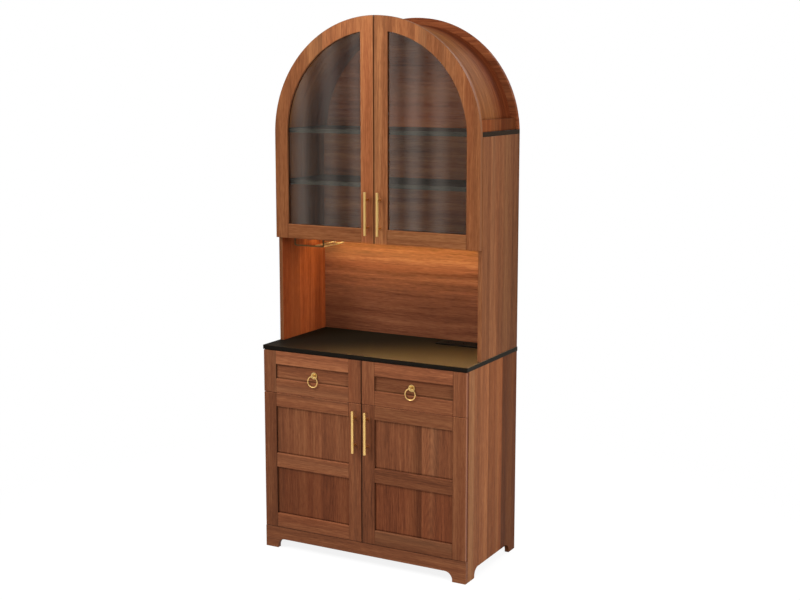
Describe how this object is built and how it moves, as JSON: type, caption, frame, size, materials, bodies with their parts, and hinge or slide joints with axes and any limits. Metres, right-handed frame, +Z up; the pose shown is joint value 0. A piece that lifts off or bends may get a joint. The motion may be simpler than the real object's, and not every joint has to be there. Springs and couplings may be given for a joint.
{
  "type": "glass-front buffet cabinet",
  "caption": "Tall buffet cabinet with framed doors and drawers, a black counter, an open lit niche and an arched glass-door cupboard above.",
  "frame": {"origin": "on the floor, under the middle of the whole outline, handles included", "axes": "+X to the right across the front, +Y to the back, +Z up"},
  "size_m": [0.8, 0.425, 1.873],
  "materials": {
    "walnut": "satin walnut veneer, grain upright",
    "walnut_level": "satin walnut veneer, grain level",
    "walnut_bent": "satin walnut veneer along the bend",
    "walnut_panel": "satin walnut veneer",
    "black_top": "matt black laminate",
    "black_board": "matt black laminate",
    "drawer_board": "pale foil board",
    "beech": "plain beech",
    "gold": "satin gold",
    "gold_wire": "satin gold wire",
    "tinted_glass": "grey tinted glass",
    "steel": "zinc plated",
    "aluminium": "anodised",
    "diffuser": "lit warm diffuser",
    "black_plastic": "fine texture",
    "black_rubber": "matt"
  },
  "bodies": {
    "cabinet": {"lower_side_left": "walnut", "lower_side_right": "walnut", "plinth_board": "walnut_level", "lower_bottom_board": "walnut_level", "drawer_deck": "walnut_level", "drawer_divider": "walnut", "lower_shelf": "walnut_level", "lower_back_panel": "walnut_level", "countertop": "black_top", "hutch_side_left": "walnut", "hutch_side_right": "walnut", "hutch_back_panel": "walnut_level", "hutch_floor": "walnut_level", "middle_shelf": "black_board", "spring_board": "black_board", "bent_roof": "walnut_bent", "arch_back_panel": "walnut_level", "roof_cleats": "walnut", "light_channel": "aluminium", "light_diffuser": "diffuser", "stemware_rack": "gold_wire", "power_strip_body": "black_plastic", "power_strip_sockets": "black_plastic", "cord_grommet": "black_rubber", "hinge_arms": "steel", "runner_rails": "steel", "shelf_pegs": "steel", "carcass_dowels": "beech", "magnet_catches": "black_plastic"},
    "upper_left_door": {"upper_left_door_frame": "walnut", "upper_left_door_glass": "tinted_glass", "upper_left_door_glass_bead": "black_rubber", "upper_left_door_handle": "gold", "upper_left_door_hinge_pins": "steel"},
    "lower_left_door": {"lower_left_door_frame": "walnut", "lower_left_door_panels": "walnut_panel", "lower_left_door_handle": "gold", "lower_left_door_hinge_pins": "steel"},
    "left_drawer": {"left_drawer_front_frame": "walnut_level", "left_drawer_front_panel": "walnut_panel", "left_drawer_box": "drawer_board", "left_drawer_sliders": "steel", "left_drawer_pull_stem": "gold"},
    "left_ring": {"left_drawer_ring": "gold"},
    "upper_right_door": {"upper_right_door_frame": "walnut", "upper_right_door_glass": "tinted_glass", "upper_right_door_glass_bead": "black_rubber", "upper_right_door_handle": "gold", "upper_right_door_hinge_pins": "steel"},
    "lower_right_door": {"lower_right_door_frame": "walnut", "lower_right_door_panels": "walnut_panel", "lower_right_door_handle": "gold", "lower_right_door_hinge_pins": "steel"},
    "right_drawer": {"right_drawer_front_frame": "walnut_level", "right_drawer_front_panel": "walnut_panel", "right_drawer_box": "drawer_board", "right_drawer_sliders": "steel", "right_drawer_pull_stem": "gold"},
    "right_ring": {"right_drawer_ring": "gold"}
  },
  "joints": [
    {"name": "upper_left_door_hinge", "type": "hinge", "parent": "cabinet", "child": "upper_left_door", "pos_m": [-0.3915, -0.0895, 1.3], "axis": [0, 0, -1], "range_deg": [0, 100]},
    {"name": "lower_left_door_hinge", "type": "hinge", "parent": "cabinet", "child": "lower_left_door", "pos_m": [-0.3915, -0.1795, 0.3], "axis": [0, 0, -1], "range_deg": [0, 100]},
    {"name": "left_drawer_slide", "type": "slide", "parent": "cabinet", "child": "left_drawer", "axis": [0, -1, 0], "range_m": [0, 0.25]},
    {"name": "left_ring_hinge", "type": "hinge", "parent": "left_drawer", "child": "left_ring", "pos_m": [-0.1915, -0.1935, 0.6445], "axis": [-1, 0, 0], "range_deg": [0, 90]},
    {"name": "upper_right_door_hinge", "type": "hinge", "parent": "cabinet", "child": "upper_right_door", "pos_m": [0.3915, -0.0895, 1.3], "axis": [0, 0, 1], "range_deg": [0, 100]},
    {"name": "lower_right_door_hinge", "type": "hinge", "parent": "cabinet", "child": "lower_right_door", "pos_m": [0.3915, -0.1795, 0.3], "axis": [0, 0, 1], "range_deg": [0, 100]},
    {"name": "right_drawer_slide", "type": "slide", "parent": "cabinet", "child": "right_drawer", "axis": [0, -1, 0], "range_m": [0, 0.25]},
    {"name": "right_ring_hinge", "type": "hinge", "parent": "right_drawer", "child": "right_ring", "pos_m": [0.1915, -0.1935, 0.6445], "axis": [-1, 0, 0], "range_deg": [0, 90]}
  ]
}
